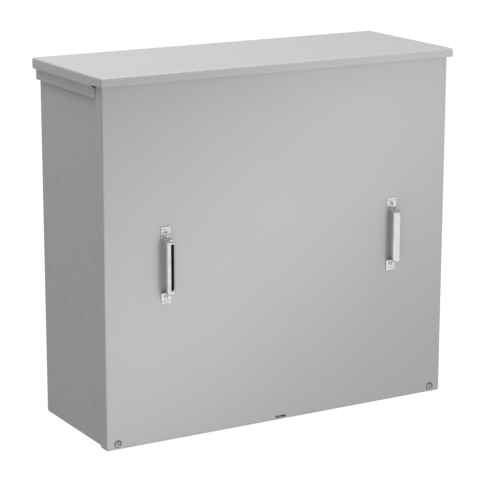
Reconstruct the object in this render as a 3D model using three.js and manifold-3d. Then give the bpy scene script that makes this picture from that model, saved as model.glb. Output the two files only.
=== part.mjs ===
// A rainproof steel subpanel enclosure: a welded box with a drip cap, a lift-off cover hung
// under the cap and screwed at its lower corners, two pull handles, and a subpanel inside.
//
// Millimetres, +Z up. X runs along the width and Y from the front to the back. Everything is
// drawn with the cover's outer face at y = 0 and the floor at z = 0, and the whole cabinet is
// then moved so that its origin is the centre of the base.

import * as THREE from 'three';
import { mergeVertices } from 'three/addons/utils/BufferGeometryUtils.js';
import Module from 'manifold-3d';

const wasm = await Module();
wasm.setup();

// ---------------------------------------------------------------- driving dimensions

const COVER_WIDTH = 812.8; // nominally 32 in
const TOTAL_HEIGHT = 758; // nominally 30 in
const TOTAL_DEPTH = 303; // cover's face to back, nominally 12 in
const SHEET = 2; // 14 gauge
const BEND = 4; // outer radius of every fold
const GAP = 0.3; // between faces that touch
const FOLD_CLEARANCE = 1.2; // beside a fold, so that a square corner clears the bend inside it
const RUNNING_CLEARANCE = 0.4; // round the corner screws, which swing out with the cover
const EDGE_BREAK = 0.6; // bevel on a turned edge
const PAST = 1; // how far a cut runs past the face it opens

const BODY_INSET = 8.2; // from the cover's side to the body's
const BODY_WIDTH = COVER_WIDTH - 2 * BODY_INSET;
const BODY_FRONT = 8; // front faces of the side panels
const SIDE_RETURN = 30; // folded edge all round a side panel
const BOTTOM_FOLD = 20;
const HEADER_HEIGHT = 54;
const HEADER_FOLD = 20;
const WALL_HOLE_X = 300;
const WALL_HOLE_Z = [40, 725];
const WALL_HOLE_RADIUS = 5.5;

const CAP_SIDE_OVERHANG = 7;
const CAP_FRONT_OVERHANG = 12;
const CAP_FLANGE = 18; // front flange, from the top face down
const CAP_SKIRT = 45; // side skirts, from the top face down
const SKIRT_UPPER = 20; // side skirt, down to its inward step
const SKIRT_STEP = 6; // the step leads in by SKIRT_OFFSET over this height
const SKIRT_OFFSET = 8;
const SKIRT_FRONT = 31; // the lower skirt stops here, clear of the cover's fold

const COVER_BOTTOM = 2;
const COVER_TOP_CLEARANCE = 4; // under the cap's top sheet
const COVER_FOLD = 26; // depth of the cover's side folds
const COVER_LIP = 5.5; // depth of its bottom fold

const SLOT_WIDTH = 26; // for a hasp, through the cover
const SLOT_HEIGHT = 5.2;
const SLOT_Z = 8.8;
const REAR_SLOT_WIDTH = 34; // and with room to spare through the bottom panel behind it
const REAR_SLOT_Z = [5, 14];

const HANDLE_X = 270;
const HANDLE_LENGTH = 157;
const HANDLE_REACH = 29.5; // front of the grip, out from the cover
const HANDLE_STRAP = 2;
const HANDLE_FOOT_BEND = 2; // outer radius between a pad and a leg
const HANDLE_SHOULDER_BEND = 7; // outer radius between a leg and the grip
const PAD_WIDTH = 22;
const GRIP_LENGTH = 105;
const GRIP_WIDTH = 17.5;
const GRIP_DEPTH = 8.5;
const GRIP_WALL = 1.8;
const GRIP_EDGE = 5;
const GRIP_RUNOUT = 1; // its turned-back edges stop this far short of the legs

const HANDLE_SCREW_RADIUS = 2.4;
const HANDLE_SCREW_HEAD = 4.8; // radius
const HANDLE_SCREW_HEAD_HEIGHT = 3;
const HANDLE_SCREW_TIP = 8.5; // how far in it reaches
const HANDLE_NUT_FLATS = 9.5;
const HANDLE_NUT_THICKNESS = 4;

const CORNER_SCREW_X = 381;
const CORNER_SCREW_Z = 14;
const CORNER_SCREW_RADIUS = 3;
const CORNER_SCREW_HEAD = 6.5; // radius
const CORNER_SCREW_HEAD_HEIGHT = 2.4;
const CORNER_SCREW_TIP = 17;
const CORNER_NUT_FLATS = 12;
const CORNER_NUT_THICKNESS = 5;
const DIMPLE_DEPTH = 4;
const DIMPLE_RIM_RADIUS = 8.2;
const DIMPLE_FLOOR_RADIUS = 6.9;
const WASHER_RADIUS = 5.8;
const WASHER_THICKNESS = 1.2;

const SUBPANEL_WIDTH = 700;
const SUBPANEL_BOTTOM = 60;
const SUBPANEL_TOP = 700;
const SUBPANEL_FRONT = 265;
const SUBPANEL_FOLD = 12;
const STUD_X = 320;
const STUD_Z = [90, 670];
const STUD_RADIUS = 4;
const STUD_FRONT = 252;
const COLLAR_RADIUS = 8;
const STUD_NUT_FLATS = 13;
const STUD_NUT_HEIGHT = 7; // with its flange
const STUD_NUT_FLANGE_RADIUS = 8.5;
const STUD_NUT_FLANGE = 1.5; // thickness

const GROUND_X = -150;
const GROUND_Z = 40;
const GROUND_RADIUS = 3;
const GROUND_FRONT = 278;
const GROUND_FOOT_RADIUS = 6;
const GROUND_FOOT = 2; // thickness
const GROUND_NUT_FLATS = 10;
const GROUND_NUT_THICKNESS = 5;

const ARC_STEPS = 2; // an arc of a section gets twice as many
const ROUND_STEPS = 24;
const DOME_STEPS = 4;

// ---------------------------------------------------------------- where the parts meet

const BOTH = [true, true];
const NEITHER = [false, false];
const SIDES = [['left', -1], ['right', 1]];
const LEVELS = ['lower', 'upper'];

const bodyTop = TOTAL_HEIGHT - SHEET - GAP;
const backPanelFront = TOTAL_DEPTH - SHEET;
const sideBack = backPanelFront - GAP;
const insideWidth = BODY_WIDTH - 2 * (SHEET + FOLD_CLEARANCE);
const returnBack = BODY_FRONT + SHEET;
const bottomFloor = SHEET + GAP;
const bottomFront = returnBack + GAP;
const skirtBottom = TOTAL_HEIGHT - CAP_SKIRT;
const coverTop = TOTAL_HEIGHT - SHEET - COVER_TOP_CLEARANCE;

const handleZ = (COVER_BOTTOM + TOTAL_HEIGHT - CAP_FLANGE) / 2; // middle of the cover in view
const padFront = -GAP - HANDLE_STRAP;
const padCentre = (HANDLE_LENGTH + GRIP_LENGTH) / 4; // from the middle of the handle
const handleScrewHeights = [handleZ - padCentre, handleZ + padCentre];
const washerFront = DIMPLE_DEPTH - GAP - WASHER_THICKNESS;
const studFoot = backPanelFront - GAP;

const clearOf = (radius) => radius + GAP;

// ---------------------------------------------------------------- finishes

const finish = (color, roughness, metalness) =>
  new THREE.MeshStandardMaterial({ color, roughness, metalness });
const PAINT = finish(0xb4b6b4, 0.5, 0);
const CHROME = finish(0xdadcde, 0.08, 1);
const ZINC = finish(0xaeb2b4, 0.38, 1);
const GALVANIZED = finish(0xa3a8aa, 0.5, 1);
const SEAL = finish(0x202224, 0.8, 0);

// ---------------------------------------------------------------- solids

const X = new THREE.Vector3(1, 0, 0);
const Y = new THREE.Vector3(0, 1, 0);
const Z = new THREE.Vector3(0, 0, 1);

// A closed three.js geometry as a solid that can be joined and cut.
function solidOf(geometry) {
  geometry.deleteAttribute('normal');
  geometry.deleteAttribute('uv');
  const merged = mergeVertices(geometry, 1e-4);
  const corners = merged.index.array;
  const kept = [];
  for (let i = 0; i < corners.length; i += 3) {
    const [a, b, c] = corners.slice(i, i + 3);
    if (a !== b && b !== c && c !== a) kept.push(a, b, c);
  }
  return new wasm.Manifold(new wasm.Mesh({
    numProp: 3,
    vertProperties: new Float32Array(merged.attributes.position.array),
    triVerts: new Uint32Array(kept),
  }));
}

function geometryOf(solid) {
  const { vertProperties, triVerts } = solid.getMesh();
  const geometry = new THREE.BufferGeometry();
  geometry.setAttribute('position', new THREE.BufferAttribute(vertProperties, 3));
  geometry.setIndex(new THREE.BufferAttribute(triVerts, 1));
  geometry.computeVertexNormals();
  return geometry;
}

// A closed outline through [x, y, radius] corners; the radius may be left out.
function outline(corners) {
  const shape = new THREE.Shape();
  corners.forEach(([x, y, radius = 0], i) => {
    const corner = new THREE.Vector2(x, y);
    const toward = ([px, py]) => new THREE.Vector2(px, py).sub(corner).normalize();
    const back = toward(corners.at(i - 1));
    const on = toward(corners[(i + 1) % corners.length]);
    const half = Math.acos(back.dot(on)) / 2;
    const start = corner.clone().addScaledVector(back, radius / Math.tan(half));
    const end = corner.clone().addScaledVector(on, radius / Math.tan(half));
    if (i === 0) shape.moveTo(start.x, start.y);
    else shape.lineTo(start.x, start.y);
    if (radius === 0) return;
    const inward = back.clone().add(on).normalize();
    const centre = corner.clone().addScaledVector(inward, radius / Math.sin(half));
    const from = start.sub(centre).angle();
    const to = end.sub(centre).angle();
    shape.absarc(centre.x, centre.y, radius, from, to, back.cross(on) > 0);
  });
  return shape;
}

// Extrudes a shape drawn on the axes u and v along u x v.
function extrude(shape, [u, v], [from, to]) {
  const options = { depth: to - from, bevelEnabled: false, curveSegments: ARC_STEPS };
  const geometry = new THREE.ExtrudeGeometry(shape, options);
  geometry.translate(0, 0, from);
  geometry.applyMatrix4(new THREE.Matrix4().makeBasis(u, v, u.clone().cross(v)));
  return solidOf(geometry);
}

function block([x0, x1], [y0, y1], [z0, z1]) {
  const geometry = new THREE.BoxGeometry(x1 - x0, y1 - y0, z1 - z0);
  geometry.translate((x0 + x1) / 2, (y0 + y1) / 2, (z0 + z1) / 2);
  return solidOf(geometry);
}

// A piece turned about a line along Y through (x, z), from [radius, y] points that start and
// end on that line, the front point first.
function turned(profile, x, z, steps = ROUND_STEPS) {
  const points = profile.map(([radius, y]) => new THREE.Vector2(radius, y));
  const geometry = new THREE.LatheGeometry(points, steps);
  geometry.translate(x, 0, z);
  return solidOf(geometry);
}

function rod(x, z, radius, [y0, y1]) {
  return turned([[0, y0], [radius, y0], [radius, y1], [0, y1]], x, z);
}

// A screw with a domed head whose underside is at `seat`, and a bevelled tip.
function domedScrew(x, z, headRadius, headHeight, radius, seat, tip) {
  const profile = [];
  for (let step = 0; step <= DOME_STEPS; step += 1) {
    const angle = ((step / DOME_STEPS) * Math.PI) / 2;
    profile.push([headRadius * Math.sin(angle), seat - headHeight * Math.cos(angle)]);
  }
  profile.push([radius, seat], [radius, tip - EDGE_BREAK], [radius - EDGE_BREAK, tip], [0, tip]);
  return turned(profile, x, z);
}

// A washer standing along Y.
function ring(x, z, radius, bore, [y0, y1]) {
  return rod(x, z, radius, [y0, y1]).subtract(rod(x, z, bore, [y0 - PAST, y1 + PAST]));
}

function hexBlock(x, z, acrossFlats, across) {
  const radius = acrossFlats / Math.sqrt(3);
  const corners = [0, 1, 2, 3, 4, 5].map((corner) => {
    const angle = (corner * Math.PI) / 3;
    return [z + radius * Math.cos(angle), x + radius * Math.sin(angle)];
  });
  return extrude(outline(corners), [Z, X], across);
}

function hexNut(x, z, acrossFlats, bore, [y0, y1]) {
  const hole = rod(x, z, bore, [y0 - PAST, y1 + PAST]);
  return hexBlock(x, z, acrossFlats, [y0, y1]).subtract(hole);
}

// ---------------------------------------------------------------- folded sheet

// Cross-section of a tray filled in: a floor with a folded corner at each end that has a wall.
// Drawn as [along, depth] points; inset moves it inside the sheet.
function traySection([low, high], [lowWall, highWall], floor, rim, inset) {
  const beyond = inset > 0 ? PAST : 0;
  const from = lowWall ? low + inset : low - beyond;
  const to = highWall ? high - inset : high + beyond;
  const radius = BEND - inset;
  return [
    [from, rim + beyond],
    [from, floor + inset, lowWall ? radius : 0],
    [to, floor + inset, highWall ? radius : 0],
    [to, rim + beyond],
  ];
}

// A sheet folded into a tray. Its floor lies across the axes a and b and its walls rise along
// a x b, from `floor` to `rim`. wallsA are its walls at the low and high end of a, and so on.
function tray({ axes: [a, b], alongA, alongB, floor, rim, wallsA, wallsB }) {
  const up = a.clone().cross(b);
  const fill = (inset) => {
    const beyond = inset > 0 ? PAST : 0;
    const acrossA = traySection(alongA, wallsA, floor, rim, inset);
    const acrossB = traySection(alongB, wallsB, floor, rim, inset);
    const swapped = acrossA.map(([along, depth, radius]) => [depth, along, radius]);
    const runB = [alongB[0] - beyond, alongB[1] + beyond];
    const runA = [alongA[0] - beyond, alongA[1] + beyond];
    return extrude(outline(swapped), [up, a], runB)
      .intersect(extrude(outline(acrossB), [b, up], runA));
  };
  return fill(0).subtract(fill(SHEET));
}

// ---------------------------------------------------------------- the welded box

// A side panel, folded inward along all four edges. The cover's corner screw passes through
// its front edge into a nut welded behind.
function sidePanel(side) {
  const panel = tray({
    axes: side < 0 ? [Y, Z] : [Z, Y],
    alongA: side < 0 ? [BODY_FRONT, sideBack] : [0, bodyTop],
    alongB: side < 0 ? [0, bodyTop] : [BODY_FRONT, sideBack],
    floor: -BODY_WIDTH / 2,
    rim: -BODY_WIDTH / 2 + SIDE_RETURN,
    wallsA: BOTH,
    wallsB: BOTH,
  });
  const bore = CORNER_SCREW_RADIUS + RUNNING_CLEARANCE;
  const through = [BODY_FRONT - PAST, returnBack + PAST];
  return panel.subtract(rod(side * CORNER_SCREW_X, CORNER_SCREW_Z, bore, through));
}

// The back sheet, lapped over the folded rear edges of the side panels, with four holes for
// the screws that hang the cabinet on a wall.
function backPanel() {
  const half = BODY_WIDTH / 2 - BEND / 2;
  let panel = block([-half, half], [backPanelFront, TOTAL_DEPTH], [SHEET, bodyTop]);
  for (const x of [-WALL_HOLE_X, WALL_HOLE_X]) {
    for (const z of WALL_HOLE_Z) {
      const through = [backPanelFront - PAST, TOTAL_DEPTH + PAST];
      panel = panel.subtract(rod(x, z, WALL_HOLE_RADIUS, through));
    }
  }
  return panel;
}

// The bottom sheet stands on the side panels' lower edges. Its front edge carries the hasp
// slot and is cut back at the ends to clear the corner screws' nuts.
function bottomPanel() {
  const half = insideWidth / 2;
  const panel = tray({
    axes: [X, Y],
    alongA: [-half, half],
    alongB: [bottomFront, sideBack - SHEET - GAP],
    floor: bottomFloor,
    rim: bottomFloor + BOTTOM_FOLD,
    wallsA: BOTH,
    wallsB: BOTH,
  });
  const reliefHeight = [bottomFloor + SHEET, bottomFloor + BOTTOM_FOLD + PAST];
  const reliefDepth = [bottomFront - PAST, bottomFront + CORNER_NUT_THICKNESS + BEND];
  const inner = BODY_WIDTH / 2 - SIDE_RETURN;
  const left = block([-half - PAST, -inner], reliefDepth, reliefHeight);
  const right = block([inner, half + PAST], reliefDepth, reliefHeight);
  const slot = slotCut(REAR_SLOT_WIDTH, REAR_SLOT_Z, bottomFront);
  return panel.subtract(left).subtract(right).subtract(slot);
}

function slotCut(width, height, face) {
  return block([-width / 2, width / 2], [face - PAST, face + SHEET + PAST], height);
}

// A channel across the top of the opening, which the cover's upper edge closes against.
function headerRail() {
  const half = insideWidth / 2;
  const top = bodyTop - SHEET - GAP;
  return tray({
    axes: [Z, X],
    alongA: [top - HEADER_HEIGHT, top],
    alongB: [-half, half],
    floor: bottomFront,
    rim: bottomFront + HEADER_FOLD,
    wallsA: BOTH,
    wallsB: NEITHER,
  });
}

// The drip cap: a top sheet with a short front flange and deep side skirts. Each skirt steps
// in below the overhang, and its lower part stops short of the cover's side fold.
function topCap() {
  const half = COVER_WIDTH / 2 + CAP_SIDE_OVERHANG;
  const step = TOTAL_HEIGHT - SKIRT_UPPER;
  const front = -CAP_FRONT_OVERHANG;
  const fill = (inset) => {
    const beyond = inset > 0 ? PAST : 0;
    const radius = BEND - inset;
    const wide = half - inset;
    const narrow = wide - SKIRT_OFFSET;
    const base = skirtBottom - beyond;
    const top = TOTAL_HEIGHT - inset;
    const back = TOTAL_DEPTH + beyond;
    const frontView = outline([
      [base, narrow], [step - SKIRT_STEP, narrow], [step, wide], [top, wide, radius],
      [top, -wide, radius], [step, -wide], [step - SKIRT_STEP, -narrow], [base, -narrow],
    ]);
    const sideView = outline([
      [back, base], [back, top], [front + inset, top, radius], [front + inset, base],
    ]);
    return extrude(frontView, [Z, X], [front - PAST, back])
      .intersect(extrude(sideView, [Y, Z], [-half, half]));
  };
  const acrossAll = [-half - PAST, half + PAST];
  const underFlange = block(acrossAll, [front - PAST, SKIRT_FRONT],
    [skirtBottom - PAST, TOTAL_HEIGHT - CAP_FLANGE]);
  return fill(0).subtract(fill(SHEET)).subtract(underFlange);
}

function cornerNut(side) {
  const bore = CORNER_SCREW_RADIUS + RUNNING_CLEARANCE;
  const across = [bottomFront, bottomFront + CORNER_NUT_THICKNESS];
  return hexNut(side * CORNER_SCREW_X, CORNER_SCREW_Z, CORNER_NUT_FLATS, bore, across);
}

// ---------------------------------------------------------------- inside

// The removable mounting plate, stiffened by a fold along each edge.
function subpanel() {
  let panel = tray({
    axes: [Z, X],
    alongA: [SUBPANEL_BOTTOM, SUBPANEL_TOP],
    alongB: [-SUBPANEL_WIDTH / 2, SUBPANEL_WIDTH / 2],
    floor: SUBPANEL_FRONT,
    rim: SUBPANEL_FRONT + SUBPANEL_FOLD,
    wallsA: BOTH,
    wallsB: BOTH,
  });
  const through = [SUBPANEL_FRONT - PAST, SUBPANEL_FRONT + SHEET + PAST];
  for (const x of [-STUD_X, STUD_X]) {
    for (const z of STUD_Z) {
      panel = panel.subtract(rod(x, z, clearOf(STUD_RADIUS), through));
    }
  }
  return panel;
}

// A collar stud: its wide part holds the subpanel off the back, its thin part takes the nut.
function collarStud(x, z) {
  const shoulder = SUBPANEL_FRONT + SHEET + GAP;
  return turned([
    [0, STUD_FRONT], [STUD_RADIUS - EDGE_BREAK, STUD_FRONT],
    [STUD_RADIUS, STUD_FRONT + EDGE_BREAK], [STUD_RADIUS, shoulder], [COLLAR_RADIUS, shoulder],
    [COLLAR_RADIUS, studFoot], [0, studFoot],
  ], x, z);
}

function studNut(x, z) {
  const seat = SUBPANEL_FRONT - GAP;
  const bore = clearOf(STUD_RADIUS);
  const flange = ring(x, z, STUD_NUT_FLANGE_RADIUS, bore, [seat - STUD_NUT_FLANGE, seat]);
  const hexagon = [seat - STUD_NUT_HEIGHT, seat - STUD_NUT_FLANGE / 2];
  return flange.add(hexNut(x, z, STUD_NUT_FLATS, bore, hexagon));
}

// The stud that the ground wire is fastened to, welded to the back by its foot.
function groundStud() {
  const shoulder = studFoot - GROUND_FOOT;
  return turned([
    [0, GROUND_FRONT], [GROUND_RADIUS - EDGE_BREAK, GROUND_FRONT],
    [GROUND_RADIUS, GROUND_FRONT + EDGE_BREAK], [GROUND_RADIUS, shoulder],
    [GROUND_FOOT_RADIUS, shoulder], [GROUND_FOOT_RADIUS, studFoot], [0, studFoot],
  ], GROUND_X, GROUND_Z);
}

function groundNut() {
  const seat = studFoot - GROUND_FOOT - GAP;
  const across = [seat - GROUND_NUT_THICKNESS, seat];
  return hexNut(GROUND_X, GROUND_Z, GROUND_NUT_FLATS, clearOf(GROUND_RADIUS), across);
}

// ---------------------------------------------------------------- the cover

// The lift-off cover, folded back deeply at the sides and by a narrow lip at the bottom. Its
// lower corners are dished for the screws.
function coverPanel() {
  let panel = tray({
    axes: [Z, X],
    alongA: [COVER_BOTTOM, coverTop],
    alongB: [-COVER_WIDTH / 2, COVER_WIDTH / 2],
    floor: 0,
    rim: COVER_FOLD,
    wallsA: [true, false],
    wallsB: BOTH,
  });
  const inner = COVER_WIDTH / 2 - SHEET;
  panel = panel.subtract(block([-inner, inner], [COVER_LIP, COVER_FOLD + PAST],
    [COVER_BOTTOM - PAST, COVER_BOTTOM + SHEET + PAST]));
  for (const side of [-1, 1]) {
    panel = dished(panel, side * CORNER_SCREW_X, CORNER_SCREW_Z);
    for (const z of handleScrewHeights) {
      const through = [-PAST, SHEET + PAST];
      panel = panel.subtract(rod(side * HANDLE_X, z, clearOf(HANDLE_SCREW_RADIUS), through));
    }
  }
  const slotHeight = [SLOT_Z - SLOT_HEIGHT / 2, SLOT_Z + SLOT_HEIGHT / 2];
  return panel.subtract(slotCut(SLOT_WIDTH, slotHeight, 0));
}

// Presses a screw's dimple into the cover and pierces its floor.
function dished(panel, x, z) {
  const boss = turned([
    [0, SHEET / 2], [DIMPLE_RIM_RADIUS + SHEET, SHEET / 2],
    [DIMPLE_FLOOR_RADIUS + SHEET, SHEET + DIMPLE_DEPTH], [0, SHEET + DIMPLE_DEPTH],
  ], x, z);
  const hollow = turned([
    [0, -PAST], [DIMPLE_RIM_RADIUS, -PAST], [DIMPLE_RIM_RADIUS, 0],
    [DIMPLE_FLOOR_RADIUS, DIMPLE_DEPTH], [0, DIMPLE_DEPTH],
  ], x, z);
  const bore = CORNER_SCREW_RADIUS + RUNNING_CLEARANCE;
  const hole = rod(x, z, bore, [-PAST, SHEET + DIMPLE_DEPTH + PAST]);
  return panel.add(boss).subtract(hollow).subtract(hole);
}

// A stamped pull: two flat pads, two legs, and a grip whose edges are turned back.
function handle(side) {
  const x = side * HANDLE_X;
  const end = HANDLE_LENGTH / 2;
  const outer = GRIP_LENGTH / 2;
  const inner = outer - HANDLE_STRAP;
  const front = -HANDLE_REACH;
  const back = front + HANDLE_STRAP;
  const foot = HANDLE_FOOT_BEND;
  const shoulder = HANDLE_SHOULDER_BEND;
  const insideFoot = foot + HANDLE_STRAP;
  const insideShoulder = shoulder - HANDLE_STRAP;
  const sideView = [
    [-GAP, -end], [padFront, -end], [padFront, -outer, foot], [front, -outer, shoulder],
    [front, outer, shoulder], [padFront, outer, foot], [padFront, end], [-GAP, end],
    [-GAP, inner, insideFoot], [back, inner, insideShoulder],
    [back, -inner, insideShoulder], [-GAP, -inner, insideFoot],
  ].map(([y, z, radius]) => [y, z + handleZ, radius]);
  const across = [x - GRIP_WIDTH / 2, x + GRIP_WIDTH / 2];
  const strap = extrude(outline(sideView), [Y, Z], across);
  const gripSection = (inset, backEdge) => outline([
    [across[0] + inset, backEdge], [across[0] + inset, front + inset, GRIP_EDGE - inset],
    [across[1] - inset, front + inset, GRIP_EDGE - inset], [across[1] - inset, backEdge],
  ]);
  const whole = [handleZ - end - PAST, handleZ + end + PAST];
  const between = [handleZ - inner + GRIP_RUNOUT, handleZ + inner - GRIP_RUNOUT];
  const hollow = extrude(gripSection(GRIP_WALL, front + GRIP_DEPTH + PAST), [X, Y], between);
  const grip = extrude(gripSection(0, front + GRIP_DEPTH), [X, Y], between).subtract(hollow);
  let pull = strap.intersect(extrude(gripSection(0, PAST), [X, Y], whole)).add(grip);
  const padAcross = [x - PAD_WIDTH / 2, x + PAD_WIDTH / 2];
  pull = pull.add(block(padAcross, [padFront, -GAP], [handleZ + outer, handleZ + end]));
  pull = pull.add(block(padAcross, [padFront, -GAP], [handleZ - end, handleZ - outer]));
  for (const z of handleScrewHeights) {
    const through = [padFront - PAST, PAST];
    pull = pull.subtract(rod(x, z, clearOf(HANDLE_SCREW_RADIUS), through));
  }
  return pull;
}

function handleScrew(x, z) {
  return domedScrew(x, z, HANDLE_SCREW_HEAD, HANDLE_SCREW_HEAD_HEIGHT, HANDLE_SCREW_RADIUS,
    padFront - GAP, HANDLE_SCREW_TIP);
}

function handleNut(x, z) {
  const seat = SHEET + GAP;
  const bore = clearOf(HANDLE_SCREW_RADIUS);
  return hexNut(x, z, HANDLE_NUT_FLATS, bore, [seat, seat + HANDLE_NUT_THICKNESS]);
}

// ---------------------------------------------------------------- the corner screws

// The sealing washer under a corner screw's head.
function sealWasher(side) {
  const across = [washerFront, washerFront + WASHER_THICKNESS];
  const bore = clearOf(CORNER_SCREW_RADIUS);
  return ring(side * CORNER_SCREW_X, CORNER_SCREW_Z, WASHER_RADIUS, bore, across);
}

// A screw whose low head lies flush in its dimple, long enough to pass through its nut.
function cornerScrew(side) {
  return domedScrew(side * CORNER_SCREW_X, CORNER_SCREW_Z, CORNER_SCREW_HEAD,
    CORNER_SCREW_HEAD_HEIGHT, CORNER_SCREW_RADIUS, washerFront - GAP, CORNER_SCREW_TIP);
}

// ---------------------------------------------------------------- the assembly

const cabinet = new THREE.Group();
cabinet.position.y = (HANDLE_REACH - TOTAL_DEPTH) / 2;

function add(name, solid, material) {
  const mesh = new THREE.Mesh(geometryOf(solid), material);
  mesh.name = name;
  cabinet.add(mesh);
}

add('top_cap', topCap(), PAINT);
add('back_panel', backPanel(), PAINT);
add('bottom_panel', bottomPanel(), PAINT);
add('header_rail', headerRail(), PAINT);
add('cover_panel', coverPanel(), PAINT);
add('subpanel', subpanel(), GALVANIZED);
add('ground_stud', groundStud(), ZINC);
add('ground_nut', groundNut(), ZINC);

for (const [name, side] of SIDES) {
  add(`${name}_side_panel`, sidePanel(side), PAINT);
  add(`${name}_corner_nut`, cornerNut(side), ZINC);
  add(`${name}_corner_washer`, sealWasher(side), SEAL);
  add(`${name}_corner_screw`, cornerScrew(side), ZINC);
  add(`${name}_handle`, handle(side), CHROME);
  LEVELS.forEach((level, i) => {
    const place = [side * HANDLE_X, handleScrewHeights[i]];
    add(`${name}_handle_${level}_screw`, handleScrew(...place), CHROME);
    add(`${name}_handle_${level}_nut`, handleNut(...place), ZINC);
    add(`subpanel_stud_${level}_${name}`, collarStud(side * STUD_X, STUD_Z[i]), ZINC);
    add(`subpanel_nut_${level}_${name}`, studNut(side * STUD_X, STUD_Z[i]), ZINC);
  });
}

export default cabinet;
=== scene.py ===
"""The looks of a rainproof steel subpanel enclosure: painted sheet, chromed pulls and plated
fasteners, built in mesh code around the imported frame. Metres, +Z up, front face towards -Y."""

import math

import bmesh
import bpy
from mathutils import Matrix, Vector


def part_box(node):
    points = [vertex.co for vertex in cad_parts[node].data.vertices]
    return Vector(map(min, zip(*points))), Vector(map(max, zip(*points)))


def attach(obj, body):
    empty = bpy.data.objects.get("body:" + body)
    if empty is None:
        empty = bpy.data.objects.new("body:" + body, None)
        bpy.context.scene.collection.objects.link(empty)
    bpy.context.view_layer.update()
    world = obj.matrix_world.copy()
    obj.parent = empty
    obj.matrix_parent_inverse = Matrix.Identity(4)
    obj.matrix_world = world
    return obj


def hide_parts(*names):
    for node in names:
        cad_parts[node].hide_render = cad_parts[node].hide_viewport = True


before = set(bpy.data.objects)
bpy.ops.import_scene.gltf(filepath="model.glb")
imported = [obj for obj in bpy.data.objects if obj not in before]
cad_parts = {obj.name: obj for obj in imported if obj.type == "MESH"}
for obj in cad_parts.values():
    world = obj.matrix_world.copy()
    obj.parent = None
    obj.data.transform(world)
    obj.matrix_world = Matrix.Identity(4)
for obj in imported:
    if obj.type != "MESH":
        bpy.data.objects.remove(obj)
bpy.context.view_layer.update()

# ---------------------------------------------------------------- sizes

SHEET = 0.002  # thickness of every folded sheet
BEND = 0.004  # outer radius of every fold
BEND_STEPS = 8
GAP = 0.0003  # between faces that touch
PAST = 0.001  # how far a cut runs past the face it opens
SHEET_EDGE = 0.00035  # rounding of a cut edge under its paint
ROUND_STEPS = 64
SHARP = 1e-5  # least radius of a rounded corner
POINTED = 1e-6  # radius that stands for a point on a turned piece's axis
MITRE_LIMIT = 0.2  # holds back the corner of a path that is moved sideways
THREAD_STEPS = 6  # rings to each turn of a thread
THREAD_DEPTH = 0.6  # of its pitch

CAP_FLANGE = 0.018
SKIRT_UPPER = 0.020
SKIRT_STEP = 0.006
SKIRT_OFFSET = 0.008
SKIRT_FRONT = 0.031  # behind the cover's face
STEP_RADIUS = 0.0025
TRIM = 0.05  # how far a pan is drawn past an edge that is then cut off open
HEADER_TRIM = 0.02

COVER_LIP = 0.0055
SLOT = ((-0.013, 0.0062), (0.013, 0.0114))  # the hasp slot's lowest and highest corners
SLOT_CORNER = 0.0013
REAR_SLOT = ((-0.017, 0.005), (0.017, 0.014))  # the one behind it in the bottom panel

DIMPLE_DEPTH = 0.004
DIMPLE_RIM_RADIUS = 0.0082
DIMPLE_FLOOR_RADIUS = 0.0069
RIM_ROUND = 0.0008  # how softly the pressing turns in from the face
BOSS_THINNING = 0.8  # what the pressing leaves of the sheet's thickness
CORNER_BORE = 0.0034
BORE_DEPTH = 0.01  # of a cutter that goes right through a sheet and its pressing

STRAP = 0.002  # sheet that the pulls are pressed from
GRIP_WIDTH = 0.0175
GRIP_DEPTH = 0.0085
GRIP_FACET = 0.005  # how far in from each edge of the grip its slanting facets reach
PAD_FACET = 0.0004
FACET_ROUND = 0.0008
FACET_STEPS = 3
LEG_TURN = 0.0025  # how far a leg's edges turn back behind it
PULL_FOOT = 0.002  # outer radius between a pad and a leg
PULL_SHOULDER = 0.007  # outer radius between a leg and the grip
PULL_FOOT_SPACE = 0.0035  # between a screw's head and the leg
PULL_STEPS = 12  # round each bend
PULL_STEP = 0.002  # longest stretch between two sections
PULL_MEET = 0.0001
PULL_EDGE = 0.0002  # rounding of a pull's sharp edges
FOLD_ROOM = 0.9  # how much of the strap's inside a slanting corner may take
# Where a pull changes shape, each from a start to an end:
NARROWING = (0.08, 0.23)  # from the pad's width to the grip's, in shares of its reach
FACETS_RISE = (0.15, 0.5)
LEG_TURNS_BACK = (0.2, 0.6)
GRIP_DEEPENS = (0.006, 0.012)  # in metres from the shoulder
GROOVE_INSET = 0.005  # from a pad's end to the line pressed across it
GROOVE_DEPTH = 0.0005
GROOVE_RADIUS = 0.0015
HANDLE_BORE = 0.0027

WALL_HOLE_X = 0.300  # from the middle
WALL_HOLE_RADIUS = 0.0055
WALL_HOLE_Z = (0.040, 0.725)
STUD_BORE = 0.0043  # in the subpanel and the nuts that hold it

cover_low, cover_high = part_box("cover_panel")
FACE = cover_low.y  # plane of the cover's outer face
SIDES = (("left", -1), ("right", 1))
LEVELS = ("lower", "upper")


def centre(node):
    low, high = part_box(node)
    return (low + high) / 2


# ---------------------------------------------------------------- shapes: (points, faces)


def rings(loops, closed_ends=True):
    """Joins equal loops of points, each to the next, and caps the first and the last."""
    count = len(loops[0])
    points = [p for loop in loops for p in loop]
    faces = []
    for ring in range(len(loops) - 1):
        for k in range(count):
            after = (k + 1) % count
            a, b = ring * count, (ring + 1) * count
            faces.append((a + k, a + after, b + after, b + k))
    if closed_ends:
        faces.append(tuple(range(count)))
        faces.append(tuple(range(len(points) - count, len(points))))
    return points, faces


def block(low, high):
    low, high = Vector(low), Vector(high)
    loops = []
    for z in (low.z, high.z):
        loops.append([Vector((x, y, z)) for x, y in (
            (low.x, low.y), (high.x, low.y), (high.x, high.y), (low.x, high.y))])
    return rings(loops)


def circle(x, y, z, radius, steps=ROUND_STEPS, start=0):
    """Points round a line along Y."""
    angles = [start + math.tau * k / steps for k in range(steps)]
    return [Vector((x + radius * math.cos(a), y, z + radius * math.sin(a))) for a in angles]


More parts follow.
